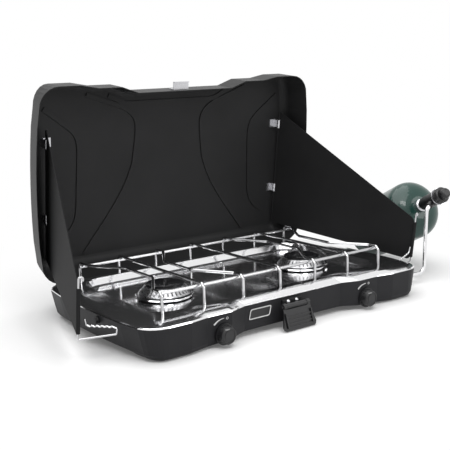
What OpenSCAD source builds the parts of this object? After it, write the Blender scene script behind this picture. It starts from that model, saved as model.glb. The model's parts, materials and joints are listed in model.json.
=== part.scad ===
// Two-burner folding camp stove: lid open, wind screens out, gas cylinder fitted.
// Millimetres. Origin: centre of the base footprint, on the table. +X right, +Y back, +Z up.

/* [Piece to draw] */

/* [Base and lid outline] */
// width over the bowed sides
body_width = 544; // [460:2:620]
// front corner to back edge
body_depth = 315; // [270:1:360]
corner_r = 34; // [24:1:60]
// how far the sides bow out between the corners
side_bow = 7; // [0:0.5:10]
// the front edge steps back twice towards the middle
step_one = 5.5; // [0:0.5:10]
step_two = 10.5; // [0:0.5:16]
step_one_x = 179; // [160:1:200]
step_two_x = 108; // [80:1:130]
step_run = 30; // [16:1:36]

/* [Base pan] */
seam_z = 47.5; // [40:0.5:60]
pan_clear = 1.5; // [1:0.5:4]
arch_h = 9.5; // [4:0.5:16]
sheet = 1.2; // [1:0.1:2]
// centres of the rubber feet, in from the sides and the ends
foot_in_x = 64; // [56:1:90]
foot_in_y = 35; // [30:1:60]
foot_r = 9; // [6:0.5:12]

/* [Cooktop] */
rim_z = 52.5; // [50:0.5:58]
well_z = 41; // [36:0.5:44]
well_width = 438; // [420:1:446]
well_front = 51; // [46:1:70]
well_back = 25; // [22:1:40]
well_r = 34; // [20:1:44]

/* [Burners] */
burner_x = 137; // [110:1:150]
burner_y = 2; // [-30:1:30]
bowl_r = 45; // [36:0.5:52]
head_r = 40; // [30:0.5:43]
head_top_r = 29; // [20:0.5:34]
head_h = 13; // [8:0.5:16]
port_count = 36; // [16:1:48]
port_w = 2; // [1:0.1:3]

/* [Grate] */
wire_d = 4.6; // [3:0.1:6]
grate_pitch = 70; // [60:1:72]
grate_top = 84; // [78:0.5:96]
grate_front = -108.5; // [-114:0.5:-100]
grate_back = 137; // [130:0.5:141]
jog = 36; // [0:1:42]
jog_run = 60; // [40:1:70]
jog_flat = 78; // [50:1:90]
leg_bevel = 7; // [4:0.5:12]
bend_r = 6; // [4:0.5:10]

/* [Knobs] */
knob_x = 138; // [132:1:142]
knob_z = 18.5; // [18:0.5:24]
skirt_r = 15.5; // [12:0.5:18]
grip_r = 12.5; // [8:0.5:15]
knob_depth = 13; // [10:0.5:18]
flutes = 18; // [8:1:24]
stem_r = 3; // [2:0.1:4]

/* [Latch] */
// the latch and the catch stand a little left of the middle
latch_x = -7; // [-12:0.5:12]
latch_drop = 12.5; // [9:0.5:14]
latch_w = 62; // [54:1:70]
latch_len = 36; // [32:0.5:38]
latch_tilt = 17; // [14:1:45]
latch_t = 3; // [2:0.1:5]
latch_pin_r = 2; // [1.5:0.1:3]

/* [Lid] */
lid_lean = 6.2; // [0:0.1:12]
lid_depth = 54; // [52:0.5:60]
// lower edge of the open lid, and its gap behind the base
lid_z = 47; // [42:0.5:64]
lid_gap = 1.5; // [1:0.5:4]
lid_draft = 11; // [4:0.5:20]
lid_back_draft = 10; // [4:0.5:14]
lid_front_draft = 0.5; // [0:0.5:12]
rib_w = 7; // [4:0.5:12]
rib_h = 2; // [1:0.5:4]
hinge_x = 172; // [120:1:200]
hinge_len = 44; // [24:1:60]
hinge_pin_r = 1.6; // [1.2:0.1:2.5]

/* [Wind screens] */
// upright rods, in from the sides
screen_in = 36; // [34:1:48]
screen_hinge_lean = 8.5; // [6:0.1:9]
screen_flare = 17; // [8:0.5:18]
screen_len = 296; // [240:1:310]
screen_rear_h = 216; // [160:1:224]
screen_front_h = 75; // [50:1:100]
screen_t = 1.2; // [0.8:0.1:2]
screen_rod_r = 1.6; // [1.2:0.1:2.2]
clip_len = 15; // [8:0.5:20]
bail_d = 2.6; // [2:0.1:4]
bail_reach = 52; // [30:1:56]
bail_teeth = 5; // [3:1:7]

/* [Gas supply] */
inlet_y = -99; // [-105:0.5:-60]
inlet_z = 15.5; // [15:0.5:24]
pipe_d = 6.5; // [5:0.5:7]
// cylinder axis, out from the side
gas_out = 95; // [90:1:130]
gas_turn = 14; // [0:1:20]
gas_tilt = 24; // [20:0.5:30]
tank_r = 53; // [44:0.5:55]
tank_len = 187; // [150:1:210]
tank_wall = 1.6; // [1:0.1:3]
reg_r = 14; // [11:0.5:17]

/* [Hidden] */
$fn = 40;
fit_gap = 0.3;
eps = 0.01;
pin_gap = 0.25;
half_w = body_width / 2;
half_d = body_depth / 2;
origin_lid = [0, half_d + lid_gap, lid_z];

// ---------------------------------------------------------------- helpers
function unit(v) = v / norm(v);
function lerp(a, b, t) = a + (b - a) * t;
function flip(l) = [for (i = [len(l) - 1 : -1 : 0]) l[i]];
function bez(a, b, c, d, t) =
  a * pow(1 - t, 3) + 3 * b * t * pow(1 - t, 2) + 3 * c * t * t * (1 - t) + d * pow(t, 3);

// quarter of an ellipse round the corner centre c
function quarter(c, rx, ry, a0, n = 6) =
  [for (k = [0 : n]) [c[0] + rx * cos(a0 + 90 * k / n), c[1] + ry * sin(a0 + 90 * k / n)]];

// one side of the body, bowed out between the corners, from low to high y
function side_line(ix, s, y0, y1, n = 8) =
  [for (k = [1 : n - 1])
    let (t = k / n, y = lerp(y0, y1, t), b = side_bow * pow(sin(180 * t), 0.6))
    [s * (half_w - side_bow + b - ix), y]];

// front edge, left to right, with its two steps back to the middle
function front_half(f) =
  let (y0 = -half_d + f)
  [[step_one_x + step_run / 2, y0],
   [step_one_x, y0 + step_one / 2],
   [step_one_x - step_run / 2, y0 + step_one],
   [step_two_x + step_run / 2, y0 + step_one],
   [step_two_x, y0 + step_one + step_two / 2],
   [step_two_x - step_run / 2, y0 + step_one + step_two]];

// body outline, drawn in by ix at the sides, f at the front and b at the back
function outline(ix, f, b) =
  let (rx = max(corner_r - ix, 6), rb = max(corner_r - b, 6), rf = max(corner_r - f, 6),
    cx = half_w - side_bow - ix - rx, yb = half_d - b - rb, yf = -half_d + f + rf, h = front_half(f))
  concat(
    quarter([cx, yb], rx, rb, 0),
    quarter([-cx, yb], rx, rb, 90),
    flip(side_line(ix, -1, yf, yb)),
    quarter([-cx, yf], rx, rf, 180),
    [for (p = h) [-p[0], p[1]]],
    flip(h),
    quarter([cx, yf], rx, rf, 270),
    side_line(ix, 1, yf, yb));

// plain rounded rectangle between y0 and y1
function round_box(w, y0, y1, r) =
  let (cx = w / 2 - r)
  concat(quarter([cx, y1 - r], r, r, 0), quarter([-cx, y1 - r], r, r, 90),
    quarter([-cx, y0 + r], r, r, 180), quarter([cx, y0 + r], r, r, 270));

// skin through rings of equal length, each [outline, z]
module loft(rings) {
  n = len(rings[0][0]);
  m = len(rings);
  pts = [for (r = rings) for (p = r[0]) [p[0], p[1], r[1]]];
  walls = [for (j = [0 : m - 2]) for (i = [0 : n - 1])
    let (a = j * n + i, b = j * n + (i + 1) % n) [a, a + n, b + n, b]];
  polyhedron(pts, concat([[for (i = [0 : n - 1]) i]], walls,
    [[for (i = [n - 1 : -1 : 0]) (m - 1) * n + i]]), convexity = 8);
}

// frame with its z axis along v
module along(p, v) {
  w = unit(v);
  q = abs(w[2]) > 0.9 ? [1, 0, 0] : [0, 0, 1];
  a = unit(cross(q, w));
  b = cross(w, a);
  multmatrix([[a[0], b[0], w[0], p[0]], [a[1], b[1], w[1], p[1]],
    [a[2], b[2], w[2], p[2]], [0, 0, 0, 1]])
    children();
}

module rod(a, b, r) {
  along(a, b - a)
    cylinder(h = norm(b - a), r = r);
}

// distance from a corner to where its bend starts
function bend_cut(a, p, b, rb) =
  rb * tan(acos(max(-1, min(1, unit(p - a) * unit(b - p)))) / 2);

// stations round one corner, each [place, direction]
function bend_stations(a, p, b, rb, n) =
  let (u = unit(p - a), v = unit(b - p), ang = acos(max(-1, min(1, u * v))))
  ang < 0.5 ? [[p, u]]
    : let (w = unit(v - u * (u * v)), t = rb * tan(ang / 2), c = p - u * t + w * rb)
      [for (k = [0 : n])
        let (q = ang * k / n) [c - w * rb * cos(q) + u * rb * sin(q), u * cos(q) + w * sin(q)]];
function stations(pts, rb, n) =
  let (m = len(pts))
  concat([[pts[0], unit(pts[1] - pts[0])]],
    [for (i = [1 : m - 2]) each bend_stations(pts[i - 1], pts[i], pts[i + 1], rb, n)],
    [[pts[m - 1], unit(pts[m - 1] - pts[m - 2])]]);
// side directions carried along the wire without twist
function carry(st, i, q) =
  i == len(st) ? []
    : let (w = unit(q - st[i][1] * (q * st[i][1]))) concat([w], carry(st, i + 1, w));

// bent round wire through the points: m sides, n steps to a bend
module bent_wire(pts, r, rb, m = 12, n = 4) {
  st = stations(pts, rb, n);
  d = st[0][1];
  side = carry(st, 0, cross(d, abs(d[2]) > 0.8 ? [1, 0, 0] : [0, 0, 1]));
  k = len(st);
  ring = [for (i = [0 : k - 1]) for (j = [0 : m - 1])
    let (f = 360 * (j + 0.5) / m)
    st[i][0] + (side[i] * cos(f) + cross(st[i][1], side[i]) * sin(f)) * r];
  walls = [for (i = [0 : k - 2]) for (j = [0 : m - 1])
    let (a = i * m + j, b = i * m + (j + 1) % m) [a, a + m, b + m, b]];
  polyhedron(ring, concat([[for (j = [0 : m - 1]) j]], walls,
    [[for (j = [m - 1 : -1 : 0]) (k - 1) * m + j]]), convexity = 8);
}

// left-hand normal of a path at its point i
function path_normal(p, i) =
  let (n = len(p), d = unit(p[min(i + 1, n - 1)] - p[max(i - 1, 0)])) [-d[1], d[0]];
// strip of even width along a path, as an outline
function strip(p, w) =
  concat([for (i = [0 : len(p) - 1]) p[i] + path_normal(p, i) * w / 2],
    flip([for (i = [0 : len(p) - 1]) p[i] - path_normal(p, i) * w / 2]));

module both_sides() {
  children();
  mirror([1, 0, 0])
    children();
}

// ---------------------------------------------------------------- derived places
knob_face_y = -half_d + step_one;
middle_y = -half_d + step_one + step_two;
well_y0 = -half_d + well_front;
well_y1 = half_d - well_back;
floor_z = arch_h + sheet;
pan_slope = 6.5;
foot_x = half_w - foot_in_x;
foot_y = half_d - foot_in_y;
hook_y = -38;
hook_w = 7;
leg_z = rim_z + fit_gap;
wire_z = grate_top - wire_d / 2;
wire_x = [for (i = [-3 : 3]) i * grate_pitch];

valve_w = 11;
valve_len = 30;
valve_y = -half_d + 34;
stem_len = valve_y - valve_len / 2 - knob_face_y + knob_depth - 5;
jet_r = 2;
jet_len = 5;
venturi_r = 6.5;
manifold_r = 4;
fitting_r = pipe_d / 2 + 1.4;
fitting_x0 = half_w - 30;
fitting_len = 30;
throat_r = 17;
bowl_z = well_z + fit_gap;
head_z = bowl_z + 5;

rivet_r = 2.2;
latch_rivet_x = 8;
bracket_t = 2.4;
latch_ear_x = 19;
latch_ear_w = 6;
bracket_w = latch_ear_x * 2 - 1;
latch_y = middle_y - 9;
latch_z = seam_z - latch_drop;
pin_at_y = latch_y - latch_t / 2 * cos(latch_tilt);
pin_at_z = latch_z + latch_t / 2 * sin(latch_tilt);
bracket_z0 = pin_at_z - latch_pin_r - 2;
latch_rivet_z = pin_at_z + 0.4 + rivet_r + 1 + fit_gap;
bracket_z1 = latch_rivet_z + rivet_r + 2;

hinge_t = 1.5;
knuckle_r = hinge_pin_r + 1.8;
axis_y = half_d + 6;
axis_z = lid_z - 5.5;
wall_angle = lid_lean + atan(lid_back_draft / lid_depth);

catch_w = 30;
catch_h = 13.5;
screen_axis = [0, -sin(screen_hinge_lean), cos(screen_hinge_lean)];
screen_dir = [sin(screen_flare), -cos(screen_hinge_lean) * cos(screen_flare),
  -sin(screen_hinge_lean) * cos(screen_flare)];
screen_foot = [half_w - screen_in, half_d + 47, lid_z + 31.5];
clip_at = [70, 194];
clip_ring_r = screen_rod_r + 2.2;
bail_r = bail_d / 2;
eye_r = bail_r + 1.5;
bail_x = screen_len + bail_r + pin_gap + 0.6;

gas_ahead = [sin(gas_turn), cos(gas_turn), 0];
gas_side = [cos(gas_turn), -sin(gas_turn), 0];
gas_dir = gas_ahead * cos(gas_tilt) + [0, 0, -sin(gas_tilt)];
gas_up = gas_ahead * sin(gas_tilt) + [0, 0, cos(gas_tilt)];
// stations along the gas axis, measured back from the regulator's flange
cap_back = -28;
ring_at = -16.5;
ring_t = 2.8;
sleeve_at = ring_at + ring_t;
sleeve_end = 35;
neck_end = 47;
tank_end = neck_end - 4 + tank_len;
tank_foot_r = tank_r - 1;
gas_x = half_w + gas_out;
// the lowest rim of the cylinder's foot rests on the table
flange_at = [gas_x, -92.5, tank_end * sin(gas_tilt) + tank_foot_r * cos(gas_tilt) + fit_gap];
boss_turn = 50;
boss_dir = -gas_side * sin(boss_turn) - gas_up * cos(boss_turn);
boss_at = flange_at - gas_dir;
boss_r = 19;

// ---------------------------------------------------------------- base
// arches that lift the pan clear of the table between its corners, lifted further by up
module pan_arches(up = 0) {
  x0 = foot_x - 10;
  translate([0, half_d + 1, 0])
    rotate([90, 0, 0])
      linear_extrude(body_depth + 2)
        polygon([[-x0 - up, -1], [-x0 - up, pan_clear], [-x0 + 36, arch_h * 0.45 + up], [-x0 + 98, arch_h * 0.94 + up],
          [-x0 + 130, arch_h + up], [x0 - 130, arch_h + up], [x0 - 98, arch_h * 0.94 + up],
          [x0 - 36, arch_h * 0.45 + up], [x0 + up, pan_clear], [x0 + up, -1]]);
  y0 = foot_y - foot_r;
  translate([-half_w - 1, 0, 0])
    rotate([90, 0, 90])
      linear_extrude(body_width + 2)
        polygon([[-y0 - up, -1], [-y0 - up, pan_clear], [-y0 + 9, arch_h * 0.7 + up], [-y0 + 20, arch_h * 0.88 + up],
          [y0 - 20, arch_h * 0.88 + up], [y0 - 9, arch_h * 0.7 + up], [y0 + up, pan_clear], [y0 + up, -1]]);
}

module base_pan() {
  color([0.2, 0.2, 0.21])
    difference() {
      loft([[outline(18, 9, 12), pan_clear], [outline(13.5, 5, 6), pan_clear + 3],
        [outline(9, 2.5, 2), 10], [outline(pan_slope, 1.5, 0), 20], [outline(0, 0, 0), seam_z]]);
      pan_arches();
      difference() {
        loft([[outline(18.5, 9.5, 12.5), pan_clear + sheet], [outline(13.5 + sheet, 5 + sheet, 6 + sheet), pan_clear + 3.4],
          [outline(9 + sheet, 2.5 + sheet, 2 + sheet), 10], [outline(pan_slope + sheet, 1.5 + sheet, sheet), 20],
          [outline(sheet, sheet, sheet), seam_z + eps]]);
        pan_arches(sheet);
      }
      for (s = [-1, 1])
        translate([s * knob_x, -half_d - 1, knob_z])
          rotate([-90, 0, 0])
            cylinder(h = 30, r = stem_r + 1);
      translate([half_w - 30, inlet_y, inlet_z])
        rotate([0, 90, 0])
          cylinder(h = 40, r = fitting_r + fit_gap);
      for (s = [-1, 1])
        translate([latch_x + s * latch_rivet_x, -half_d - 1, latch_rivet_z])
          rotate([-90, 0, 0])
            cylinder(h = 40, r = rivet_r + fit_gap);
    }
}

module feet() {
  color([0.05, 0.05, 0.05])
    for (s = [-1, 1])
      for (t = [-1, 1])
        translate([s * foot_x, t * foot_y, 0])
          cylinder(h = pan_clear, r = foot_r);
}

// ---------------------------------------------------------------- cooktop
module well_shape(grow, top) {
  loft([[round_box(well_width - 20 + grow * 2, well_y0 + 10 - grow, well_y1 - 10 + grow, well_r - 8), well_z - grow],
    [round_box(well_width - 14 + grow * 2, well_y0 + 7 - grow, well_y1 - 7 + grow, well_r - 6), well_z + 2 - grow],
    [round_box(well_width - 3 + grow * 2, well_y0 + 1.5 - grow, well_y1 - 1.5 + grow, well_r - 1), rim_z - 1.6],
    [round_box(well_width + grow * 2, well_y0 - grow, well_y1 + grow, well_r), top]]);
}

// crowned rim: height over the seam, and how far in from the edge
rim_climb = rim_z - seam_z;
rim_crown = [[0, 0], [rim_climb * 0.24, 0.6], [rim_climb * 0.38, 2.4], [rim_climb * 0.6, 9],
  [rim_climb * 0.78, 16], [rim_climb * 0.92, 24], [rim_climb, 34]];
function crown_ring(c) = [outline(c[1], c[1], c[1] * 0.6), seam_z + c[0]];

module cooktop() {
  color([0.8, 0.8, 0.8])
    difference() {
      union() {
        difference() {
          loft([for (c = rim_crown) crown_ring(c)]);
          loft([for (i = [0 : len(rim_crown) - 1])
            crown_ring(rim_crown[i] + path_normal(rim_crown, i) * sheet)]);
        }
        well_shape(sheet, rim_z - sheet / 2);
      }
      well_shape(0, rim_z + eps);
      for (s = [-1, 1])
        translate([s * burner_x, burner_y, well_z - 5])
          cylinder(h = 10, r = throat_r + fit_gap);
    }
}

// ---------------------------------------------------------------- gas train in the base
module valve(s) {
  color([0.75, 0.6, 0.3])
    translate([s * knob_x, valve_y, knob_z]) {
      translate([-valve_w / 2, -valve_len / 2, -valve_w / 2])
        cube([valve_w, valve_len, valve_w]);
      translate([0, eps - valve_len / 2, 0])
        rotate([90, 0, 0])
          cylinder(h = stem_len, r = stem_r);
      translate([0, valve_len / 2 - eps, 0])
        rotate([-90, 0, 0])
          cylinder(h = jet_len, r = jet_r);
    }
}

module manifold() {
  x0 = knob_x - valve_w / 2;
  x1 = knob_x + valve_w / 2;
  color([0.7, 0.7, 0.7]) {
    rod([-x0, valve_y, knob_z], [x0, valve_y, knob_z], manifold_r);
    bent_wire([[x1, valve_y, knob_z], [fitting_x0 - 40, valve_y, knob_z],
      [fitting_x0 - 24, inlet_y, inlet_z], [fitting_x0, inlet_y, inlet_z]], manifold_r, 8);
  }
}

module inlet_fitting() {
  color([0.75, 0.6, 0.3])
    translate([fitting_x0, inlet_y, inlet_z])
      rotate([0, 90, 0])
        difference() {
          union() {
            rotate(30)
              cylinder(h = 8, r = fitting_r + 1, $fn = 6);
            cylinder(h = fitting_len, r = fitting_r);
          }
          translate([0, 0, fitting_len - 12])
            cylinder(h = 13, r = pipe_d / 2 + pin_gap);
        }
}

module burner_tube(s) {
  z0 = floor_z;
  color([0.6, 0.6, 0.62])
    translate([s * burner_x, 0, 0]) {
      translate([0, burner_y, z0])
        difference() {
          cylinder(h = bowl_z - z0, r = throat_r);
          translate([0, 0, sheet])
            cylinder(h = bowl_z, r = throat_r - sheet);
        }
      translate([s * (knob_x - burner_x), valve_y + valve_len / 2 + 1, knob_z])
        rotate([-90, 0, 0])
          difference() {
            cylinder(h = burner_y - valve_y - valve_len / 2 - 1, r = venturi_r);
            translate([0, 0, -1])
              cylinder(h = 40, r = venturi_r - 1.2);
          }
    }
}

// ---------------------------------------------------------------- burners
module burner_bowl(s) {
  b = bowl_r;
  color([0.85, 0.85, 0.86])
    translate([s * burner_x, burner_y, bowl_z])
      rotate_extrude($fn = 64)
        polygon([[throat_r + 3, 0], [b - 6, 0], [b - 1.5, 1.6], [b, 4], [b - 0.6, 4.6],
          [b - 2.4, 3.6], [b - 5, 2], [throat_r + 3, 1.4]]);
}

module burner_head(s) {
  h0 = head_z;
  color([0.72, 0.72, 0.74])
    translate([s * burner_x, burner_y, 0])
      difference() {
        rotate_extrude($fn = 64)
          polygon([[0, bowl_z], [throat_r + 3 - fit_gap, bowl_z], [throat_r + 3 - fit_gap, h0],
            [head_r, h0], [head_r + 1, h0 + 1.5], [head_r, h0 + 3], [head_top_r + 2, h0 + head_h - 1],
            [head_top_r, h0 + head_h], [0, h0 + head_h]]);
        translate([0, 0, bowl_z - 1])
          cylinder(h = h0 + head_h - bowl_z - 3, r = throat_r - 3);
        for (k = [0 : port_count - 1])
          rotate([0, 0, 360 * (k + 0.5) / port_count])
            translate([head_top_r - 1, -port_w / 2, h0 + 3.4])
              cube([head_r, port_w, head_h - 5.6]);
      }
}

module burner_cap(s) {
  c = head_top_r + 1;
  color([0.07, 0.07, 0.07])
    translate([s * burner_x, burner_y, head_z + head_h])
      rotate_extrude($fn = 64)
        polygon([[0, 0], [c - 1, 0], [c, 1], [c - 0.6, 2.6], [c - 3, 3.2], [c - 9, 2.4],
          [10, 1.3], [0, 1.2]]);
}

// ---------------------------------------------------------------- grate
// every other wire bends sideways towards its burner, then back
function wire_top(i) =
  let (x = wire_x[i], y0 = grate_front + leg_bevel, y1 = grate_back - leg_bevel,
    m = (y0 + y1) / 2 - 2, j = i % 2 == 1 ? 0 : (i == 0 || i == 4 ? jog : -jog))
  j == 0 ? [[x, y0, wire_z], [x, y1, wire_z]]
    : [[x, y0, wire_z], [x, max(y0 + 8, m - jog_flat / 2 - jog_run), wire_z],
       [x + j, m - jog_flat / 2, wire_z], [x + j, m + jog_flat / 2, wire_z],
       [x, min(y1 - 8, m + jog_flat / 2 + jog_run), wire_z], [x, y1, wire_z]];

module grate_grid() {
  r = wire_d / 2;
  xe = wire_x[6] + wire_d * 1.4;
  color([0.85, 0.85, 0.86]) {
    for (i = [0 : 2 : 6])
      bent_wire(wire_top(i), r, bend_r * 2);
    for (i = [1 : 2 : 5])
      rod(wire_top(i)[0], wire_top(i)[1], r);
    for (y = [grate_front + leg_bevel + wire_d, grate_back - leg_bevel - wire_d])
      rod([-xe, y, wire_z - wire_d + 0.4], [xe, y, wire_z - wire_d + 0.4], r);
  }
}

module grate_legs() {
  r = wire_d / 2;
  color([0.85, 0.85, 0.86])
    for (x = wire_x) {
      bent_wire([[x, grate_front + leg_bevel, wire_z], [x, grate_front + leg_bevel - 2.2, wire_z],
        [x, grate_front, wire_z - leg_bevel + 2], [x, grate_front, leg_z]], r, 2.6);
      bent_wire([[x, grate_back - leg_bevel, wire_z], [x, grate_back - leg_bevel + 2.2, wire_z],
        [x, grate_back, wire_z - leg_bevel + 2], [x, grate_back, leg_z]], r, 2.6);
    }
}

// ---------------------------------------------------------------- knobs
module knob(s) {
  wall = knob_face_y - fit_gap;
  color([0.13, 0.13, 0.14])
    translate([s * knob_x, wall, knob_z])
      rotate([90, 0, 0])
        difference() {
          union() {
            cylinder(h = 2.4, r = skirt_r);
            translate([0, 0, 2.4 - eps])
              cylinder(h = knob_depth - 4, r1 = grip_r + 1.4, r2 = grip_r);
            translate([0, 0, knob_depth - 1.6 - eps])
              cylinder(h = 1.6, r1 = grip_r - 0.4, r2 = grip_r - 2);
          }
          for (k = [0 : flutes - 1])
            rotate([0, 0, 360 * k / flutes])
              translate([grip_r + 1.9, 0, 3.6])
                cylinder(h = knob_depth, r = 1.5);
          translate([0, 0, -1])
            cylinder(h = knob_depth - 4, r = stem_r + pin_gap);
          translate([0, 0, knob_depth - 0.6])
            difference() {
              cylinder(h = 2, r = grip_r - 3.4);
              cylinder(h = 2, r = grip_r - 4.6);
            }
        }
}

// ---------------------------------------------------------------- latch
function lever_edge() =
  let (w = latch_w / 2, l = latch_len)
  [[-w + 8, 5], [w - 8, 5], [w - 5, 3], [w - 5, -9], [w - 3, -18], [w - 0.6, -28], [w, -l + 6],
   [w - 1.6, -l + 1.6], [w - 5, -l], [-w + 5, -l], [-w + 1.6, -l + 1.6], [-w, -l + 6], [-w + 0.6, -28],
   [-w + 3, -18], [-w + 5, -9], [-w + 5, 3]];

module lever_frame() {
  translate([latch_x, latch_y, latch_z])
    rotate([90 - latch_tilt, 0, 0])
      children();
}

module latch_lever() {
  w = latch_w / 2;
  color([0.1, 0.1, 0.1])
    lever_frame()
      difference() {
        union() {
          linear_extrude(latch_t)
            polygon(lever_edge());
          for (s = [-1, 1])
            translate([s * (w - 7) - 1.2, -latch_len + 4, latch_t - eps])
              cube([2.4, latch_len - 14, 2.6]);
          for (k = [0 : 3])
            translate([-w + 8, -latch_len + 4 + k * 5, latch_t - eps])
              cube([latch_w - 16, 1.8, 1.8]);
          for (s = [-1, 1])
            translate([s * (latch_ear_x + latch_ear_w) - (s > 0 ? latch_ear_w : 0), 0, latch_t / 2])
              rotate([0, 90, 0])
                cylinder(h = latch_ear_w, r = latch_pin_r + 2.4);
        }
        translate([-w - 1, 0, latch_t / 2])
          rotate([0, 90, 0])
            cylinder(h = latch_w + 2, r = latch_pin_r);
        translate([-latch_ear_x, -latch_pin_r - 2.8, -4])
          cube([2 * latch_ear_x, 14, 12]);
      }
}

module latch_pin() {
  color([0.75, 0.75, 0.76])
    lever_frame()
      translate([-latch_ear_x - latch_ear_w, 0, latch_t / 2])
        rotate([0, 90, 0])
          cylinder(h = 2 * (latch_ear_x + latch_ear_w), r = latch_pin_r);
}

module latch_bracket() {
  color([0.1, 0.1, 0.1]) {
    difference() {
      translate([latch_x - bracket_w / 2, middle_y - bracket_t, bracket_z0])
        cube([bracket_w, bracket_t, bracket_z1 - bracket_z0]);
      for (s = [-1, 1])
        translate([latch_x + s * latch_rivet_x, middle_y - bracket_t - 1, latch_rivet_z])
          rotate([-90, 0, 0])
            cylinder(h = bracket_t + 2, r = rivet_r + 0.1);
    }
    difference() {
      union() {
        lever_frame()
          translate([-bracket_w / 2, 0, latch_t / 2])
            rotate([0, 90, 0])
              cylinder(h = bracket_w, r = latch_pin_r + 2);
        translate([latch_x - bracket_w / 2 + 1, pin_at_y + latch_pin_r + 0.8, pin_at_z - latch_pin_r - 0.5])
          cube([bracket_w - 2, middle_y - bracket_t / 2 - pin_at_y - latch_pin_r - 0.8, latch_pin_r + 0.9]);
      }
      lever_frame()
        translate([-bracket_w, 0, latch_t / 2])
          rotate([0, 90, 0])
            cylinder(h = 2 * bracket_w, r = latch_pin_r + pin_gap);
    }
  }
}

module latch_rivets() {
  color([0.85, 0.85, 0.86])
    for (s = [-1, 1])
      translate([latch_x + s * latch_rivet_x, middle_y - bracket_t, latch_rivet_z])
        rotate([90, 0, 0]) {
          translate([0, 0, -bracket_t - sheet - 1.4])
            cylinder(h = bracket_t + sheet + 1.4, r = rivet_r);
          difference() {
            sphere(r = rivet_r + 1);
            translate([0, 0, -rivet_r - 2])
              cube([9, 9, 2 * rivet_r + 4], center = true);
          }
        }
}

// ---------------------------------------------------------------- lid
module lid_frame() {
  translate(origin_lid)
    rotate([90 + lid_lean, 0, 0])
      children();
}

// a world point in the lid's own frame: x, up the lid, out of its mouth
function in_lid(p) =
  let (y = p[1] - origin_lid[1], z = p[2] - origin_lid[2])
  [p[0], -y * sin(lid_lean) + z * cos(lid_lean), -y * cos(lid_lean) - z * sin(lid_lean)];

function lid_ring(z, more, wall = 0) =
  let (t = -z / lid_depth)
  [outline(lid_draft * t + more + wall, lid_front_draft * t + more + wall,
    lid_back_draft * t + more + wall), z];

// rounded edge round the lid's panel: height over the panel, how far drawn in
lid_edge = [[0, 12], [1.2, 7.5], [3.5, 4], [7, 1.6], [11, 0.3], [14, 0]];

module lid_shell() {
  color([0.13, 0.13, 0.135])
    lid_frame()
      translate([0, half_d, 0])
        mirror([0, 1, 0])
          difference() {
            loft(concat([for (e = lid_edge) lid_ring(e[0] - lid_depth, e[1])], [lid_ring(0, 0)]));
            loft(concat([lid_ring(sheet - lid_depth, lid_edge[0][1])],
              [for (i = [1 : len(lid_edge) - 1])
                let (e = lid_edge[i] + path_normal(lid_edge, i) * sheet) lid_ring(e[0] - lid_depth, e[1])],
              [lid_ring(eps, 0, sheet)]));
          }
}

// pressed ribs of one half of the lid panel, as paths: across, up
function curve(a, b, c, d, n = 6) = [for (k = [0 : n]) bez(a, b, c, d, k / n)];
rib_top = body_depth - lid_front_draft - lid_edge[0][1] - 4;
rib_low = lid_back_draft + lid_edge[0][1] + 3;
rib_side = half_w - side_bow - lid_draft - lid_edge[0][1];
long_rib = concat([[160, rib_top - step_one]], curve([92, rib_top - 30], [66, rib_top - 44], [64, rib_top - 53],
    [66, rib_top - 82]),
  curve([72, rib_low + 146], [88, rib_low + 96], [114, rib_low + 67], [166, rib_low]));
pocket_rib = concat([[rib_side - 7, rib_top - 25]],
  curve([rib_side - 47, rib_top - 55], [rib_side - 65, rib_top - 69], [rib_side - 68, rib_top - 77],
    [rib_side - 68, rib_top - 101], 5),
  curve([rib_side - 65, rib_low + 82], [rib_side - 63, rib_low + 52], [rib_side - 53, rib_low + 40],
    [rib_side - 27, rib_low + 30], 5));
top_rib = concat(curve([120, rib_top - 9], [104, rib_top - 15], [98, rib_top - 24], [80, rib_top - 24], 5),
  [[0, rib_top - 24]]);

module lid_ribs() {
  color([0.13, 0.13, 0.135])
    lid_frame()
      translate([0, 0, sheet - lid_depth])
        for (p = [long_rib, pocket_rib, top_rib])
          both_sides()
            linear_extrude(rib_h)
              polygon(strip(p, rib_w));
}

module lid_hinge_leaves() {
  a = wall_angle;
  dy = axis_y - origin_lid[1];
  dz = axis_z - lid_z;
  ly = dy * cos(a) + dz * sin(a);
  lz = -dy * sin(a) + dz * cos(a);
  h = hinge_len / 4 - fit_gap;
  color([0.15, 0.15, 0.15])
    for (s = [-1, 1])
      translate([s * hinge_x, origin_lid[1], lid_z])
        rotate([a, 0, 0])
          difference() {
            union() {
              translate([-hinge_len / 2, 1.5, -hinge_t])
                cube([hinge_len, 22, hinge_t]);
              for (t = [-1, 1])
                translate([t * (hinge_len / 2 - h / 2) - h / 2, ly, lz]) {
                  rotate([0, 90, 0])
                    cylinder(h = h, r = knuckle_r);
                  translate([0, -1.2, 0])
                    cube([h, 2.4, -lz - hinge_t + eps]);
                }
            }
            translate([-hinge_len, ly, lz])
              rotate([0, 90, 0])
                cylinder(h = 2 * hinge_len, r = hinge_pin_r + pin_gap);
          }
}

module base_hinge_leaves() {
  w = hinge_len / 2 - fit_gap;
  color([0.15, 0.15, 0.15])
    for (s = [-1, 1])
      translate([s * hinge_x, 0, 0])
        difference() {
          union() {
            translate([-hinge_len / 2, half_d, seam_z - 24])
              cube([hinge_len, hinge_t, 23]);
            translate([-w / 2, axis_y, axis_z])
              rotate([0, 90, 0])
                cylinder(h = w, r = knuckle_r);
            translate([-w / 2, half_d, seam_z - 24])
              cube([w, hinge_t, axis_z - seam_z + 24]);
            translate([-w / 2, half_d, axis_z - 1.2])
              cube([w, axis_y - half_d, 2.4]);
          }
          translate([-hinge_len, axis_y, axis_z])
            rotate([0, 90, 0])
              cylinder(h = 2 * hinge_len, r = hinge_pin_r);
        }
}

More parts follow.
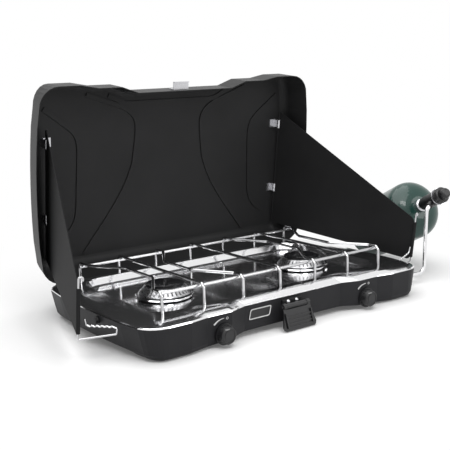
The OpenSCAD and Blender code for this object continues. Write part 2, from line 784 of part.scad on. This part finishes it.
module hinge_pins() {
  color([0.75, 0.75, 0.76])
    for (s = [-1, 1])
      translate([s * hinge_x - hinge_len / 2, axis_y, axis_z])
        rotate([0, 90, 0])
          cylinder(h = hinge_len, r = hinge_pin_r);
}

// strike on the lid's front wall that the latch hooks over
module lid_catch() {
  edge = body_depth - step_one - step_two + fit_gap;
  color([0.85, 0.85, 0.86])
    lid_frame()
      translate([latch_x - catch_w / 2, edge, 0]) {
        translate([0, 0, -22])
          cube([catch_w, 1.5, 12.5]);
        translate([0, 0, -10])
          cube([catch_w, catch_h, 1.5]);
        translate([1, catch_h - 1.5, -9])
          cube([catch_w - 2, 1.5, 4]);
      }
}

// ---------------------------------------------------------------- wind screens, drawn on the right
module screen_frame() {
  z = cross(screen_dir, screen_axis);
  d = screen_dir;
  a = screen_axis;
  f = screen_foot;
  multmatrix([[d[0], a[0], z[0], f[0]], [d[1], a[1], z[1], f[1]], [d[2], a[2], z[2], f[2]],
    [0, 0, 0, 1]])
    children();
}

module on_side(s) {
  if (s > 0)
    children();
  else
    mirror([1, 0, 0])
      children();
}

module clips(s) {
  c = [for (a = clip_at) in_lid(screen_foot + screen_axis * a)];
  ax = unit(c[1] - c[0]);
  deep = lid_depth - sheet;
  color([0.88, 0.88, 0.88])
    on_side(s)
      lid_frame()
        for (q = c)
          difference() {
            union() {
              rod(q - ax * clip_len / 2, q + ax * clip_len / 2, clip_ring_r);
              translate([q[0] - clip_ring_r, q[1] - clip_len / 2 + 1, -deep])
                cube([clip_ring_r * 2, clip_len - 2, deep + q[2]]);
              translate([q[0] - clip_ring_r - 9, q[1] - clip_len / 2, -deep])
                cube([clip_ring_r + 9, clip_len, 1.4]);
            }
            rod(q - ax * clip_len, q + ax * clip_len, screen_rod_r + pin_gap);
          }
}

module screen(s) {
  color([0.14, 0.14, 0.145])
    on_side(s)
      screen_frame()
        difference() {
          union() {
            translate([0, 0, -screen_t / 2])
              linear_extrude(screen_t)
                polygon([[0, 0], [screen_len - 5, 0], [screen_len - 1.5, 1.5], [screen_len, 5],
                  [screen_len, screen_front_h - 6], [screen_len - 2, screen_front_h - 1],
                  [screen_len - 6, screen_front_h + 2.4], [7, screen_rear_h - 1.5], [4, screen_rear_h],
                  [0, screen_rear_h]]);
            rod([0, 0, 0], [0, screen_rear_h, 0], screen_rod_r);
            rod([bail_x, 5, 0], [bail_x, screen_front_h - 6, 0], eye_r);
          }
          for (a = clip_at)
            translate([screen_rod_r - 0.1, a - clip_len / 2 - 1, -screen_t])
              cube([clip_ring_r + 1.4 - screen_rod_r, clip_len + 2, screen_t * 2]);
          for (a = clip_at)
            translate([0, a - clip_len / 2 - 1, 0])
              difference() {
                translate([-9, 0, -9])
                  cube([9.5, clip_len + 2, 18]);
                translate([0, -1, 0])
                  rotate([-90, 0, 0])
                    cylinder(h = clip_len + 4, r = screen_rod_r);
              }
          rod([bail_x, -1, 0], [bail_x, screen_front_h, 0], bail_r + pin_gap);
        }
}

// wire bail on the front edge, with the adjusting teeth on its upper arm
function teeth(n) = [for (k = [0 : 2 * n]) [bail_x, 9 + k * 0.5 + (k % 2 == 1 ? 1.8 : 0), bail_reach - 3 - k * 3.4]];
function bail_points(c) = concat(
  [[bail_x, screen_front_h + 4.4, 6 * c], [bail_x, screen_front_h + 9.5, 6 * c],
    [bail_x, screen_front_h + 9.5, 0], [bail_x, -4, 0],
   [bail_x, -1, bail_reach], [bail_x, 7.5, bail_reach + 0.6]],
  teeth(bail_teeth),
  [[bail_x, 17, bail_reach - 41], [bail_x, 26, bail_reach - 43]]);

module bail(s) {
  color([0.85, 0.85, 0.86])
    on_side(s)
      screen_frame()
        bent_wire(bail_points(-s), bail_r, bail_r + 0.2, 10, 2);
}

// tabs on the base sides that the bails hook behind; their face follows the side's slope
function side_face(z) = half_w - pan_slope * (seam_z - z) / (seam_z - 20);
module bail_hooks() {
  z0 = seam_z - 12;
  a = side_face(z0);
  color([0.1, 0.1, 0.1])
    both_sides()
      translate([0, hook_y + hook_w, 0])
        rotate([90, 0, 0])
          linear_extrude(hook_w)
            polygon([[a, z0], [a + 6.8, z0], [a + 6.8, z0 + 8], [a + 5.4, z0 + 8], [a + 5.4, z0 + 1.6],
              [side_face(z0 + 1.6) + 1.4, z0 + 1.6], [side_face(z0 + 9) + 1.4, z0 + 9], [side_face(z0 + 9), z0 + 9]]);
}

// ---------------------------------------------------------------- gas supply
module gas_at(k) {
  along(flange_at + gas_dir * k, gas_dir)
    children();
}

module gas_pipe() {
  color([0.8, 0.8, 0.82])
    bent_wire([[fitting_x0 + fitting_len - 11, inlet_y, inlet_z], [gas_x - 33, inlet_y, inlet_z],
      boss_at + boss_dir * (boss_r + 9), boss_at + boss_dir * boss_r], pipe_d / 2, 14, 20, 7);
}

module pipe_nut() {
  color([0.75, 0.75, 0.77])
    translate([fitting_x0 + fitting_len + fit_gap, inlet_y, inlet_z])
      rotate([0, 90, 0])
        difference() {
          union() {
            cylinder(h = 7, r = fitting_r + 1.5, $fn = 6);
            cylinder(h = 10, r = fitting_r + 0.4);
          }
          translate([0, 0, -1])
            cylinder(h = 12, r = pipe_d / 2);
        }
}

module regulator_body() {
  color([0.09, 0.09, 0.09])
    difference() {
      gas_at(0)
        rotate_extrude()
          polygon([[0, cap_back], [reg_r - 3, cap_back], [reg_r - 1, cap_back + 1], [reg_r, cap_back + 3],
            [reg_r, ring_at - 2.4], [reg_r - 1, ring_at], [0, ring_at]]);
      for (k = [0 : 11])
        gas_at(cap_back - 1)
          rotate([0, 0, 30 * k + 15])
            translate([reg_r + 0.9, 0, 0])
              cylinder(h = ring_at - cap_back - 3, r = 1.6);
    }
}

module regulator_cap() {
  r = reg_r * 0.66;
  color([0.12, 0.12, 0.12])
    gas_at(cap_back)
      rotate([180, 0, 0])
        rotate_extrude()
          polygon([[0, 0], [r, 0], [r, 8], [r - 1.4, 10.5], [r - 4, 11.5], [0, 11.5]]);
}

module regulator_ring() {
  color([0.85, 0.85, 0.86])
    gas_at(ring_at)
      cylinder(h = ring_t, r = reg_r + 1.2);
}

module regulator_sleeve() {
  r = reg_r - 1.5;
  color([0.1, 0.1, 0.1]) {
    gas_at(0)
      rotate_extrude()
        polygon([[0, sleeve_at], [r, sleeve_at], [r, sleeve_end - 12], [r - 1.5, sleeve_end - 10],
          [r - 1.5, sleeve_end - 1.5], [r - 2.5, sleeve_end], [0, sleeve_end]]);
    along(boss_at + boss_dir * (r - 3), boss_dir)
      cylinder(h = boss_r - r + 3, r = pipe_d / 2 + 2.2);
  }
}

module tank_neck() {
  color([0.8, 0.8, 0.8])
    gas_at(sleeve_end + fit_gap)
      rotate_extrude()
        polygon([[0, 0], [9, 0], [9, 3], [11.5, 4.5], [11.5, neck_end - sleeve_end - fit_gap],
          [0, neck_end - sleeve_end - fit_gap]]);
}

// shoulder profile of the cylinder, drawn in by t: radius, station
function shoulder(n, t = 0) = [for (k = [0 : n])
  let (q = 90 * k / n) [13 + (tank_r - 13 - t) * sin(q), neck_end + t + 30 - 30 * cos(q)]];

module tank_shell() {
  t = tank_wall;
  color([0.04, 0.16, 0.12])
    gas_at(0)
      rotate_extrude($fn = 96)
        polygon(concat([[0, neck_end]], shoulder(12),
          [[tank_r, tank_end - 12], [tank_r - 1, tank_end - 9], [tank_r - t - 1, tank_end - 9]],
          flip(shoulder(12, t)), [[0, neck_end + t]]));
}

// dished bottom of the cylinder with its foot rim
module tank_foot() {
  f = tank_foot_r;
  t = tank_wall;
  color([0.05, 0.15, 0.11])
    gas_at(tank_end - 9)
      rotate_extrude($fn = 96)
        polygon([[0, -7], [f * 0.5, -5], [f * 0.8, -1.5], [f - t - 3, fit_gap], [f - 0.6, fit_gap],
          [f, 1.6], [f, 9], [f - t, 9], [f - t - 0.6, 3], [f - t - 5, 1], [f * 0.8, t - 1.5],
          [f * 0.5, t - 5], [0, t - 7]]);
}

// ---------------------------------------------------------------- draw
base_pan();
feet();
cooktop();
manifold();
valve(-1);  // valve_left
valve(1);  // valve_right
burner_tube(-1);  // burner_tube_left
burner_tube(1);  // burner_tube_right
burner_bowl(-1);  // burner_bowl_left
burner_bowl(1);  // burner_bowl_right
burner_head(-1);  // burner_head_left
burner_head(1);  // burner_head_right
burner_cap(-1);  // burner_cap_left
burner_cap(1);  // burner_cap_right
inlet_fitting();
latch_bracket();
latch_rivets();
latch_lever();
latch_pin();
base_hinge_leaves();
hinge_pins();
bail_hooks();
knob(-1);  // knob_left
knob(1);  // knob_right
grate_grid();
grate_legs();
lid_shell();
lid_ribs();
lid_hinge_leaves();
lid_catch();
clips(-1);  // clips_left
clips(1);  // clips_right
screen(-1);  // screen_left
screen(1);  // screen_right
bail(-1);  // bail_left
bail(1);  // bail_right
gas_pipe();
pipe_nut();
regulator_body();
regulator_cap();
regulator_ring();
regulator_sleeve();
tank_shell();
tank_neck();
tank_foot();
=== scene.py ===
# Looks for the folding camp stove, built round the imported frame.
import json
import math

import bmesh
import bpy
from mathutils import Matrix, Vector


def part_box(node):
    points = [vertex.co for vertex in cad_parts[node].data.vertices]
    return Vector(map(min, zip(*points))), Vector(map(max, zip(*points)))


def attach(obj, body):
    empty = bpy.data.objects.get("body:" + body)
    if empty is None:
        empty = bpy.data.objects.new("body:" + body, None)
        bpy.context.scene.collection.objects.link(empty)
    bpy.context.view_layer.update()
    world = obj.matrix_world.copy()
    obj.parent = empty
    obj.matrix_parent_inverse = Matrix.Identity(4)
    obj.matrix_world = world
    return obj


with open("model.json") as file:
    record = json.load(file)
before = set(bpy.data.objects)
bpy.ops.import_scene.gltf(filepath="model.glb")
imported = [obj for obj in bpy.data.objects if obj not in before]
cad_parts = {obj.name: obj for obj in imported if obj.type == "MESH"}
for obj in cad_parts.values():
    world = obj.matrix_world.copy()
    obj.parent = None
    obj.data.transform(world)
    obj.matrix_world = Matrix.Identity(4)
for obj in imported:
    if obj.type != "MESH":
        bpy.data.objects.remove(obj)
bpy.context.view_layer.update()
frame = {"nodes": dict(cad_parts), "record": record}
NODES = frame["nodes"]


# ------------------------------------------------------------------ node helpers
class Tree:
    """A small helper round a node tree."""

    def __init__(self, name):
        self.mat = bpy.data.materials.new(name)
        self.mat.use_nodes = True
        self.nt = self.mat.node_tree
        self.nt.nodes.clear()
        self.out = self.nt.nodes.new("ShaderNodeOutputMaterial")
        self.bsdf = self.nt.nodes.new("ShaderNodeBsdfPrincipled")
        self.nt.links.new(self.bsdf.outputs[0], self.out.inputs[0])
        self.coord = self.nt.nodes.new("ShaderNodeTexCoord").outputs["Object"]

    def node(self, kind, **props):
        n = self.nt.nodes.new(kind)
        for k, v in props.items():
            setattr(n, k, v)
        return n

    def link(self, a, b):
        self.nt.links.new(a, b)

    def noise(self, scale, detail=3.0, rough=0.5, stretch=None):
        n = self.node("ShaderNodeTexNoise")
        n.inputs["Scale"].default_value = scale
        n.inputs["Detail"].default_value = detail
        n.inputs["Roughness"].default_value = rough
        src = self.coord
        if stretch:
            m = self.node("ShaderNodeMapping")
            m.inputs["Scale"].default_value = stretch
            self.link(src, m.inputs["Vector"])
            src = m.outputs[0]
        self.link(src, n.inputs["Vector"])
        return n.outputs[0]

    def ramp(self, fac, lo, hi, a=0.3, b=0.7):
        r = self.node("ShaderNodeMapRange")
        r.inputs["From Min"].default_value = a
        r.inputs["From Max"].default_value = b
        r.inputs["To Min"].default_value = lo
        r.inputs["To Max"].default_value = hi
        self.link(fac, r.inputs["Value"])
        return r.outputs[0]

    def mix(self, fac, c1, c2):
        m = self.node("ShaderNodeMix", data_type="RGBA")
        for sock, c in ((m.inputs[6], c1), (m.inputs[7], c2)):
            if hasattr(c, "is_linked"):
                self.link(c, sock)
            else:
                sock.default_value = (*c, 1.0)
        if hasattr(fac, "is_linked"):
            self.link(fac, m.inputs[0])
        else:
            m.inputs[0].default_value = fac
        return m.outputs[2]

    def math(self, op, a, b=0.0, clamp=False):
        m = self.node("ShaderNodeMath", operation=op, use_clamp=clamp)
        for sock, v in zip(m.inputs, (a, b)):
            if hasattr(v, "is_linked"):
                self.link(v, sock)
            else:
                sock.default_value = v
        return m.outputs[0]

    def step(self, fac, a, b, lo=0.0, hi=1.0):
        """Smooth change from lo to hi as fac goes from a to b."""
        r = self.node("ShaderNodeMapRange", interpolation_type="SMOOTHSTEP")
        for name, v in (("From Min", a), ("From Max", b), ("To Min", lo), ("To Max", hi)):
            r.inputs[name].default_value = v
        self.link(fac, r.inputs["Value"])
        return r.outputs[0]

    def xyz(self):
        s = self.node("ShaderNodeSeparateXYZ")
        self.link(self.coord, s.inputs[0])
        return s.outputs

    def bump(self, height, strength, distance, after=None):
        b = self.node("ShaderNodeBump")
        b.inputs["Strength"].default_value = strength
        b.inputs["Distance"].default_value = distance
        self.link(height, b.inputs["Height"])
        if after is not None:
            self.link(after, b.inputs["Normal"])
        return b.outputs[0]

    def set(self, **kw):
        names = {"base": "Base Color", "rough": "Roughness", "metal": "Metallic", "coat": "Coat Weight",
                 "coat_rough": "Coat Roughness", "spec": "Specular IOR Level", "normal": "Normal"}
        for k, v in kw.items():
            s = self.bsdf.inputs[names[k]]
            if hasattr(v, "is_linked"):
                self.link(v, s)
            elif k == "base":
                s.default_value = (*v, 1.0)
            else:
                s.default_value = v
        return self


def coated(name, tone, rough=0.42, grain=0.00003, spec=0.18):
    """Powder-coated pressed steel: fine orange peel, faint tone drift."""
    t = Tree(name)
    drift = t.noise(9.0, 4.0, 0.55)
    fine = t.noise(1500.0, 2.0, 0.5)
    peel = t.noise(420.0, 2.0, 0.5)
    base = t.mix(t.ramp(drift, 0.0, 1.0), tuple(c * 0.9 for c in tone), tuple(c * 1.12 for c in tone))
    r = t.ramp(fine, rough - 0.04, rough + 0.05)
    b = t.bump(fine, 0.35, grain)
    b = t.bump(peel, 0.25, grain * 3, b)
    return t.set(base=base, rough=r, spec=spec, normal=b).mat


def plated(name, tone=(0.86, 0.86, 0.87), rough=0.06, smear=0.04):
    """Bright plating on wire, tube and turned pieces."""
    t = Tree(name)
    cloud = t.noise(60.0, 3.0, 0.6)
    fine = t.noise(900.0, 2.0, 0.5)
    base = t.mix(t.ramp(cloud, 0.0, 1.0), tuple(c * 0.93 for c in tone), tone)
    r = t.ramp(cloud, rough, rough + smear)
    return t.set(base=base, metal=1.0, rough=r, normal=t.bump(fine, 0.15, 0.00002)).mat


def moulded(name, tone, rough=0.38):
    """Injection-moulded plastic with a fine spark-eroded grain."""
    t = Tree(name)
    grain = t.noise(1100.0, 2.0, 0.6)
    drift = t.noise(40.0, 2.0, 0.5)
    base = t.mix(t.ramp(drift, 0.0, 1.0), tuple(c * 0.85 for c in tone), tuple(c * 1.15 for c in tone))
    r = t.ramp(grain, rough - 0.05, rough + 0.08)
    return t.set(base=base, rough=r, normal=t.bump(grain, 0.4, 0.00004)).mat


def cooktop_steel():
    """Satin bright sheet, wavy from pressing, its front roll falling away to the seam."""
    t = Tree("cooktop_steel")
    wave = t.noise(11.0, 2.0, 0.4)
    lines = t.noise(60.0, 4.0, 0.6, stretch=(0.5, 30.0, 30.0))
    base = t.mix(t.ramp(lines, 0.0, 1.0), (0.79, 0.79, 0.8), (0.85, 0.85, 0.86))
    x, y, _ = t.xyz()
    ax = t.math("ABSOLUTE", x)
    edge = t.math("ADD", t.step(ax, 0.164, 0.194, 0.0055, 0.0), t.step(ax, 0.093, 0.123, 0.0105, 0.0))
    inset = t.math("SUBTRACT", t.math("ADD", y, 0.1575), edge)
    away = t.math("SUBTRACT", 1.0, t.math("DIVIDE", inset, 0.034), clamp=True)
    fall = t.math("MULTIPLY", t.step(ax, 0.093, 0.123, -0.006, -0.0028), t.step(ax, 0.164, 0.21, 1.0, 0.2))
    roll = t.math("MULTIPLY", t.math("MULTIPLY", away, away), fall)
    b = t.bump(roll, 1.0, 1.0)
    b = t.bump(wave, 0.4, 0.0004, b)
    b = t.bump(lines, 0.05, 0.00002, b)
    return t.set(base=base, metal=1.0, rough=t.ramp(lines, 0.11, 0.15), normal=b).mat


def cast_metal():
    t = Tree("burner_metal")
    n = t.noise(500.0, 4.0, 0.6)
    base = t.mix(t.ramp(n, 0.0, 1.0), (0.3, 0.3, 0.31), (0.5, 0.5, 0.51))
    return t.set(base=base, metal=1.0, rough=t.ramp(n, 0.22, 0.34), normal=t.bump(n, 0.3, 0.0001)).mat


def green_paint():
    t = Tree("tank_paint")
    n = t.noise(700.0, 3.0, 0.5)
    drift = t.noise(12.0, 3.0, 0.5)
    base = t.mix(t.ramp(drift, 0.0, 1.0), (0.006, 0.036, 0.028), (0.01, 0.05, 0.04))
    fine = t.bump(n, 0.1, 0.00003)
    return t.set(base=base, rough=0.35, spec=0.25, coat=0.5, coat_rough=0.05, normal=fine).mat


MATS = {
    "pan_coat": coated("pan_coat", (0.023, 0.023, 0.025), 0.42, spec=0.12),
    "lid_coat": coated("lid_coat", (0.022, 0.022, 0.0225), 0.44, spec=0.14),
    "screen_coat": coated("screen_coat", (0.021, 0.021, 0.0215), 0.55, spec=0.03),
    "cooktop_steel": cooktop_steel(),
    # wire: the chrome plating again with a lower tone; the darker colour is painted shade standing for the
    # dark surroundings the grate and bails mirror
    "wire": plated("wire", (0.58, 0.58, 0.59), 0.1, 0.08),
    "chrome": plated("chrome"),
    "zinc": plated("zinc", (0.6, 0.6, 0.62), 0.22, 0.12),
    "burner_metal": cast_metal(),
    "cap_enamel": coated("cap_enamel", (0.008, 0.008, 0.009), 0.2, 0.00001),
    "brass": plated("brass", (0.6, 0.45, 0.2), 0.25, 0.1),
    "plastic": moulded("plastic", (0.008, 0.008, 0.009)),
    "pointer": moulded("pointer", (0.2, 0.2, 0.2)),
    "print": moulded("print", (0.62, 0.62, 0.62), 0.5),
    "rubber": moulded("rubber", (0.015, 0.015, 0.015), 0.7),
    "tank_paint": green_paint(),
}

slots = {s["node"]: s["material_slot"] for s in frame["record"]["subparts"]}
# grate and bails take the darker wire copy of chrome, whose lower tone is painted shade; screens take their
# own coat
OWN = {"screen_left": "screen_coat", "screen_right": "screen_coat",
       "grate_grid": "wire", "grate_legs": "wire", "bail_left": "wire", "bail_right": "wire"}
for name, obj in NODES.items():
    obj.data.materials.clear()
    obj.data.materials.append(MATS[OWN.get(name, slots[name])])


# ------------------------------------------------------------------ small pieces of the scene
def piece(name, verts, faces, body, slot, mat=None):
    mesh = bpy.data.meshes.new(name)
    mesh.from_pydata([tuple(v) for v in verts], [], faces)
    mesh.validate()
    o = bpy.data.objects.new(name, mesh)
    bpy.context.scene.collection.objects.link(o)
    o.data.materials.append(MATS[mat or slot])
    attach(o, body)
    return o


def soften(o, width, segments=3):
    m = o.modifiers.new("bevel", "BEVEL")
    m.width = width
    m.segments = segments
    m.limit_method = "ANGLE"
    return o


def prism(name, outline, y, depth, body, slot, mat=None, lean=0.0):
    """Plate in the x-z plane: its back at y, standing depth out to the front, leaning with the wall."""
    n = len(outline)
    back = [(px, y - lean * pz, pz) for px, pz in outline]
    front = [(px, y - lean * pz - depth, pz) for px, pz in outline]
    faces = [list(range(n))[::-1], [n + k for k in range(n)]]
    faces += [[k, (k + 1) % n, n + (k + 1) % n, n + k] for k in range(n)]
    return piece(name, back + front, faces, body, slot, mat)


def slanted(cx, cz, w, h, r, skew):
    """Rounded parallelogram, counter-clockwise seen from the front."""
    pts = []
    for sx, sz, a0 in ((1, 1, 0), (-1, 1, 90), (-1, -1, 180), (1, -1, 270)):
        for k in range(6):
            a = math.radians(a0 + 18 * k)
            px, pz = sx * (w / 2 - r) + r * math.cos(a), sz * (h / 2 - r) + r * math.sin(a)
            pts.append((cx + px + skew * pz, cz + pz))
    return pts


def hoop(name, outer, inner, y, depth, body, slot, mat, lean=0.0):
    """Flat band between two outlines of equal length."""
    n = len(outer)
    ring = [(p, d) for d in (0.0, depth) for p in outer + inner]
    verts = [(px, y - lean * pz - d, pz) for (px, pz), d in ring]
    faces = []
    for k in range(n):
        j = (k + 1) % n
        faces += [[2 * n + k, 2 * n + j, 3 * n + j, 3 * n + k], [k, n + k, n + j, j],
                  [k, j, 2 * n + j, 2 * n + k], [n + k, 3 * n + k, 3 * n + j, n + j]]
    return piece(name, verts, faces, body, slot, mat)


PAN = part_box("base_pan")
STEP_ONE, STEP_TWO = 0.0055, 0.0105
FRONT = PAN[0][1] + STEP_ONE + STEP_TWO
# the front wall leans: 1.5 mm further in at its foot
LEAN = 0.0015 / 0.0275
SEAM = 0.0475
FACE = FRONT + LEAN * SEAM
plate = slanted(-0.0657, 0.0325, 0.0385, 0.0155, 0.003, 0.22)
prism("badge_plate", plate, FACE + 0.0004, 0.0012, "base", "plastic", lean=LEAN)
hoop("badge_rim", plate, slanted(-0.0657, 0.0325, 0.0355, 0.0125, 0.002, 0.22), FACE - 0.0007, 0.0005,
     "base", "zinc", "print", LEAN)
DIAL_R = 0.0225
for side in ("left", "right"):
    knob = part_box("knob_" + side)
    kx, kz = (knob[0][0] + knob[1][0]) / 2, (knob[0][2] + knob[1][2]) / 2
    wall = PAN[0][1] + STEP_ONE + LEAN * SEAM
    # printed dial marks: a tapered sweep and a small ring over the knob
    sweep, back_edge = [], []
    for k in range(9):
        a = math.radians(136 - 6.0 * k)
        r = DIAL_R
        w = 0.0022 * (1 - k / 9.0) + 0.0005
        sweep.append((kx + (r + w / 2) * math.cos(a), kz + (r + w / 2) * math.sin(a)))
        back_edge.append((kx + (r - w / 2) * math.cos(a), kz + (r - w / 2) * math.sin(a)))
    prism("dial_sweep_" + side, back_edge + sweep[::-1], wall + 0.0002, 0.0004, "base", "zinc", "print", LEAN)
    dot = [(math.cos(math.radians(30 * k)), math.sin(math.radians(30 * k))) for k in range(12)]
    dx, dz = kx + DIAL_R * math.cos(math.radians(74)), kz + DIAL_R * math.sin(math.radians(74))
    hoop("dial_ring_" + side, [(dx + 0.002 * a, dz + 0.002 * b) for a, b in dot],
         [(dx + 0.0012 * a, dz + 0.0012 * b) for a, b in dot],
         wall + 0.0002, 0.0004, "base", "zinc", "print", LEAN)
    # pointer bar across the upper part of the knob's face
    soften(prism("knob_pointer_" + side, slanted(kx - 0.0035, kz + 0.0098, 0.0075, 0.0018, 0.0006, 0.0),
                 knob[0][1] + 0.0016, 0.0018, "knob_" + side, "plastic", "pointer"), 0.0003)

# ------------------------------------------------------------------ camera
AZ, EL, ROLL = math.radians(-37.03), math.radians(10.111), math.radians(-1.547)
back = Vector((math.sin(AZ) * math.cos(EL), -math.cos(AZ) * math.cos(EL), math.sin(EL)))
right0 = (-back).cross(Vector((0, 0, 1))).normalized()
up0 = right0.cross(-back)
right = right0 * math.cos(ROLL) + up0 * math.sin(ROLL)
up = -right0 * math.sin(ROLL) + up0 * math.cos(ROLL)
target = Vector((0.0954, 0.1012, 0.1292))
DISTANCE = 1.5262
cam_data = bpy.data.cameras.new("camera")
cam = bpy.data.objects.new("camera", cam_data)
bpy.context.scene.collection.objects.link(cam)
rot = Matrix((right, up, back)).transposed().to_4x4()
cam.matrix_world = Matrix.Translation(target + back * DISTANCE) @ rot
cam_data.sensor_width = 36.0
cam_data.lens = 69.56
cam_data.shift_x = -0.0452
cam_data.shift_y = -0.0298
cam_data.clip_end = 50.0
bpy.context.scene.camera = cam

# ------------------------------------------------------------------ floor, world, lights
bm = bmesh.new()
bmesh.ops.create_grid(bm, x_segments=1, y_segments=1, size=9.0)
mesh = bpy.data.meshes.new("floor")
bm.to_mesh(mesh)
bm.free()
floor = bpy.data.objects.new("floor", mesh)
bpy.context.scene.collection.objects.link(floor)
t = Tree("floor")
t.set(base=(0.94, 0.94, 0.94), rough=0.7, spec=0.1)
lp = t.node("ShaderNodeLightPath")
glow = t.node("ShaderNodeEmission")
glow.inputs["Strength"].default_value = 1.0
dist = t.node("ShaderNodeVectorMath", operation="LENGTH")
t.link(t.coord, dist.inputs[0])
far = t.step(dist.outputs["Value"], 0.3, 0.7, 0.1, 1.0)
gloss = t.math("MAXIMUM", lp.outputs["Is Glossy Ray"], lp.outputs["Is Transmission Ray"])
seen = t.math("MAXIMUM", lp.outputs["Is Camera Ray"], gloss)
mixs = t.node("ShaderNodeMixShader")
t.link(t.math("MULTIPLY", seen, far), mixs.inputs[0])
t.link(t.bsdf.outputs[0], mixs.inputs[1])
t.link(glow.outputs[0], mixs.inputs[2])
t.link(mixs.outputs[0], t.out.inputs[0])
floor.data.materials.append(t.mat)

world = bpy.data.worlds.new("studio")
bpy.context.scene.world = world
world.use_nodes = True
wn = world.node_tree
wn.nodes.clear()
wout = wn.nodes.new("ShaderNodeOutputWorld")
wlp = wn.nodes.new("ShaderNodeLightPath")
wmix = wn.nodes.new("ShaderNodeMixShader")
# soft daylight for diffuse rays, plain white for what is seen or mirrored
for socket, strength in ((1, 0.3), (2, 1.0)):
    sky = wn.nodes.new("ShaderNodeBackground")
    sky.inputs[0].default_value = (1.0, 1.0, 1.0, 1.0)
    sky.inputs[1].default_value = strength
    wn.links.new(sky.outputs[0], wmix.inputs[socket])
seen = wlp.outputs["Is Camera Ray"]
for ray in ("Is Glossy Ray", "Is Transmission Ray"):
    either = wn.nodes.new("ShaderNodeMath")
    either.operation = "MAXIMUM"
    wn.links.new(seen, either.inputs[0])
    wn.links.new(wlp.outputs[ray], either.inputs[1])
    seen = either.outputs[0]
wn.links.new(seen, wmix.inputs[0])
wn.links.new(wmix.outputs[0], wout.inputs[0])


def area(name, place, aim, size, power):
    data = bpy.data.lights.new(name, "AREA")
    data.shape = "RECTANGLE"
    data.size, data.size_y = size
    data.energy = power
    o = bpy.data.objects.new(name, data)
    bpy.context.scene.collection.objects.link(o)
    o.location = place
    o.rotation_euler = (Vector(aim) - Vector(place)).to_track_quat("-Z", "Y").to_euler()


area("top", (-0.2, 0.1, 2.1), (0.0, 0.0, 0.0), (3.0, 2.6), 54.0)
area("front", (1.1, -2.0, 1.1), (-0.05, 0.1, 0.2), (0.9, 0.9), 9.0)
area("key", (-0.3, -1.25, 1.6), (0.3, -0.03, 0.13), (0.5, 0.5), 7.0)

bpy.context.scene.view_settings.view_transform = "Standard"

# ------------------------------------------------------------------ view layer update
bpy.context.view_layer.update()
